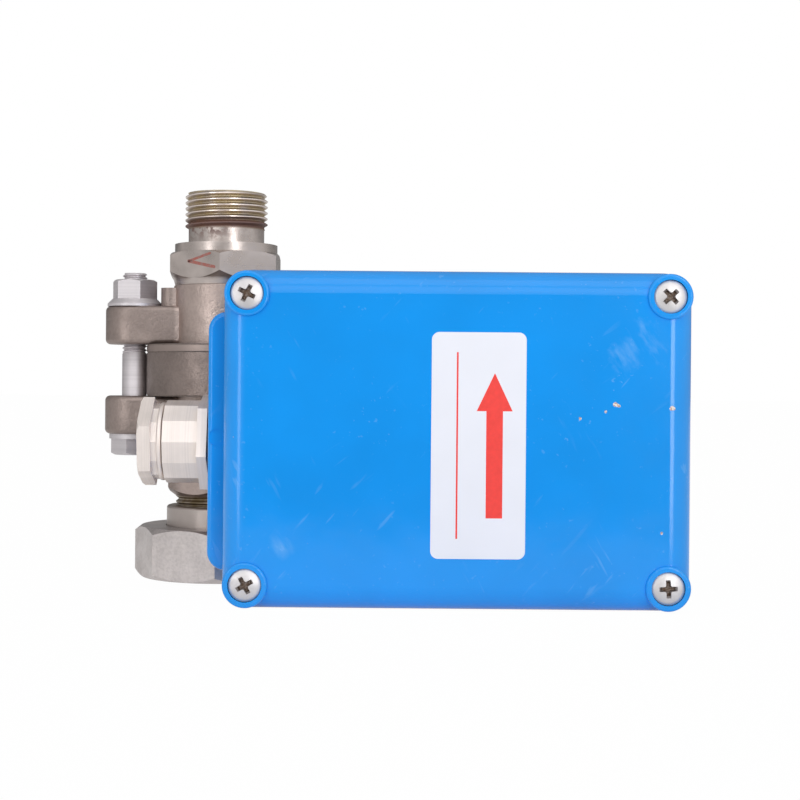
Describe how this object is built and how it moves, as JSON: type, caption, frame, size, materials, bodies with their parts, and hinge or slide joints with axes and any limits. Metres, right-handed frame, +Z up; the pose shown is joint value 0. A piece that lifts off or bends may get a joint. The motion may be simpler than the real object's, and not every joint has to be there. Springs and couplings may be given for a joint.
{
  "type": "flow monitor",
  "caption": "In-line flow monitor: a pipe section with an orifice plate, union nut and threaded outlet beside a cast box with a screwed cover, a diaphragm switch and a cable gland.",
  "frame": {"origin": "on the flow axis, in the plane of the union nut's lower mouth", "axes": "+Z up the flow line towards the threaded outlet, -Y out of the box cover, +X from the flow line to the box"},
  "size_m": [0.1825, 0.0958, 0.1281],
  "materials": {
    "blue_paint": "thick gloss enamel on cast metal",
    "cast_steel": "satin cast stainless steel",
    "nut_steel": "dull turned steel",
    "zinc": "bright zinc plating",
    "stainless": "bright stainless steel",
    "nickel": "bright nickel plating",
    "brass": "turned brass",
    "rubber": "black nitrile rubber",
    "switch_case": "moulded thermoset",
    "plunger": "moulded nylon",
    "knob": "moulded knob",
    "dial": "satin anodised"
  },
  "bodies": {
    "body": {"lower_nipple": "cast_steel", "union_seal": "rubber", "lower_cap": "cast_steel", "metering_body": "cast_steel", "line_gaskets": "rubber", "orifice_plate": "stainless", "upper_cap": "cast_steel", "upper_nipple": "cast_steel", "tie_bolts": "zinc", "tie_washers": "zinc", "tie_nuts": "zinc", "enclosure_base": "blue_paint", "rear_housing": "blue_paint", "pad_screws": "stainless", "diaphragm": "rubber", "clamp_bolts": "zinc", "stem_bush": "brass", "stem_seal": "rubber", "lever_frame": "zinc", "frame_screws": "zinc", "pivot_pin": "stainless", "range_spring": "stainless", "setting_dial": "dial", "switch_body": "switch_case", "switch_screws": "zinc", "switch_terminals": "brass", "earth_washer": "brass", "earth_screw": "brass", "gland_washer": "rubber", "gland_body": "nickel", "gland_rubber": "rubber", "gland_cap": "nickel"},
    "cover": {"cover": "blue_paint", "cover_gasket": "rubber", "cover_screws": "stainless"},
    "union": {"union_nut": "nut_steel"},
    "diaphragm_unit": {"front_disc": "stainless", "rear_disc": "stainless", "stem": "stainless", "stem_nut": "stainless"},
    "lever": {"lever": "stainless"},
    "plunger": {"switch_plunger": "plunger"},
    "setting": {"setting_knob": "knob", "setting_screw": "stainless"}
  },
  "joints": [
    {"name": "stem_travel", "type": "slide", "parent": "body", "child": "diaphragm_unit", "axis": [0, -1, 0], "range_m": [0, 0.001], "stiffness_N_per_m": 600, "deforming": ["diaphragm", "range_spring"]},
    {"name": "lever_swing", "type": "hinge", "parent": "body", "child": "lever", "pos_m": [0.06085, -0.0405, 0.0468], "axis": [0, 0, -1], "range_deg": [0, 2]},
    {"name": "plunger_press", "type": "slide", "parent": "body", "child": "plunger", "axis": [0, -1, 0], "range_m": [0, 0.0018]},
    {"name": "setting_turn", "type": "hinge", "parent": "body", "child": "setting", "pos_m": [0.09085, -0.058, 0.0468], "axis": [0, -1, 0], "range_deg": [-135, 135]},
    {"name": "cover_lift", "type": "slide", "parent": "body", "child": "cover", "axis": [0, -1, 0], "range_m": [0, 0.04]},
    {"name": "union_spin", "type": "hinge", "parent": "body", "child": "union", "pos_m": [0, 0, 0.008], "axis": [0, 0, 1], "continuous": true}
  ],
  "couplings": [
    {"joint": "lever_swing", "follows": "stem_travel", "rad_per_m": 33.333},
    {"joint": "plunger_press", "follows": "stem_travel", "ratio": 1.7333}
  ]
}
